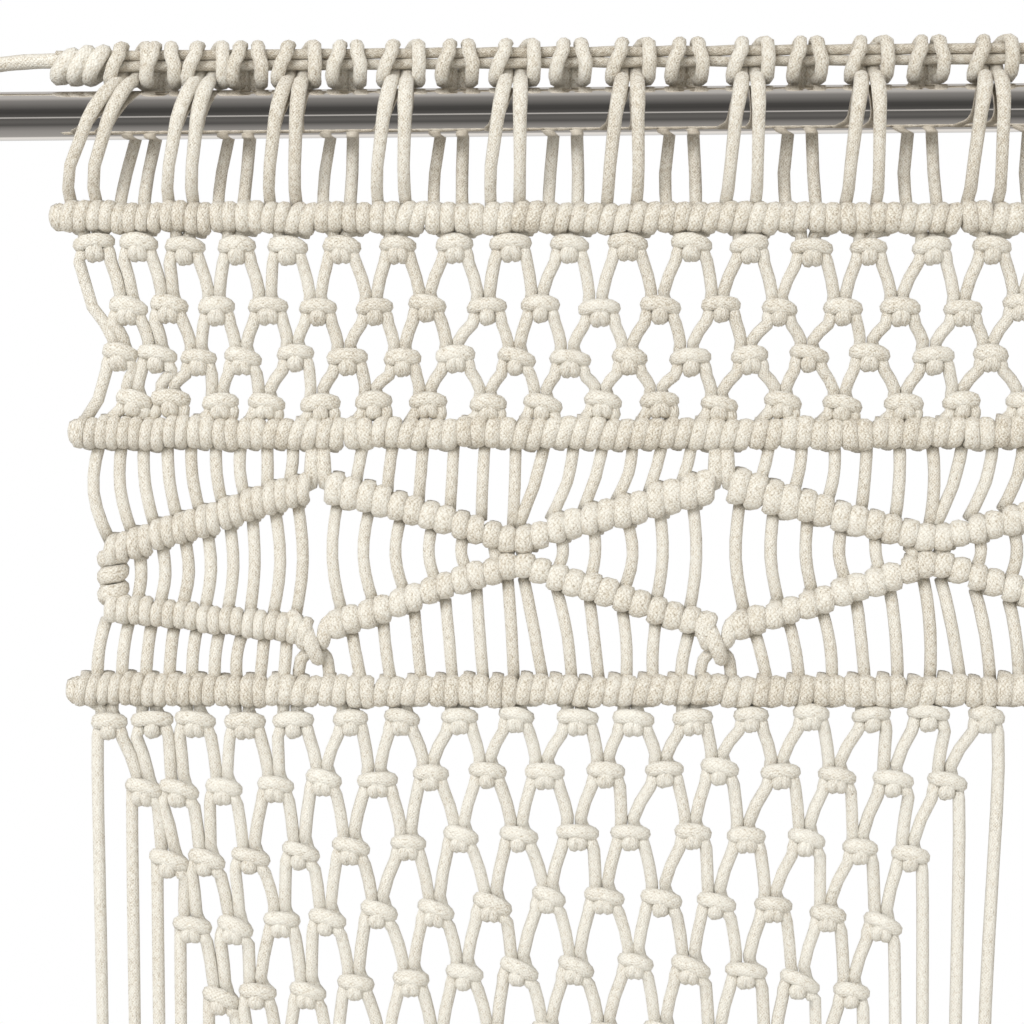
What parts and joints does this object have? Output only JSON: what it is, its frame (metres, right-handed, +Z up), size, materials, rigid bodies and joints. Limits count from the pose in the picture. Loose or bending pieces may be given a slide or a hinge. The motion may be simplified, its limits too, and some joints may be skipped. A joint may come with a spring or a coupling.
{
  "type": "macrame curtain on a rod",
  "caption": "Knotted cotton cord curtain on a straight chrome rod: open netting and a band of diamonds between knotted bars, above pointed nets that run out into a long plain fringe.",
  "frame": {"origin": "centre of the rod's left end face", "axes": "+X along the rod to the right, -Y towards the viewer of the front, +Z up"},
  "size_m": [1.2, 0.0268, 1.3275],
  "materials": {
    "cotton": "natural undyed braided cotton cord, matt",
    "chrome": "polished chrome plating"
  },
  "bodies": {
    "root": {"bar_1": "cotton", "bar_2": "cotton", "bar_3": "cotton", "diamond_lower_1": "cotton", "diamond_lower_2": "cotton", "diamond_lower_3": "cotton", "diamond_lower_4": "cotton", "diamond_lower_5": "cotton", "diamond_lower_6": "cotton", "diamond_lower_7": "cotton", "diamond_lower_8": "cotton", "diamond_upper_1": "cotton", "diamond_upper_2": "cotton", "diamond_upper_3": "cotton", "diamond_upper_4": "cotton", "diamond_upper_5": "cotton", "diamond_upper_6": "cotton", "diamond_upper_7": "cotton", "diamond_upper_8": "cotton", "fringe_1_left": "cotton", "fringe_1_right": "cotton", "fringe_2_left": "cotton", "fringe_2_right": "cotton", "fringe_3_left": "cotton", "fringe_3_right": "cotton", "header": "cotton", "header_strands_front": "cotton", "header_strands_back": "cotton", "header_tail_left": "cotton", "header_tail_right": "cotton", "header_tie_left": "cotton", "header_tie_right": "cotton", "pointed_net_1": "cotton", "pointed_net_2": "cotton", "pointed_net_3": "cotton", "rod": "chrome", "upper_net": "cotton"}
  },
  "joints": []
}
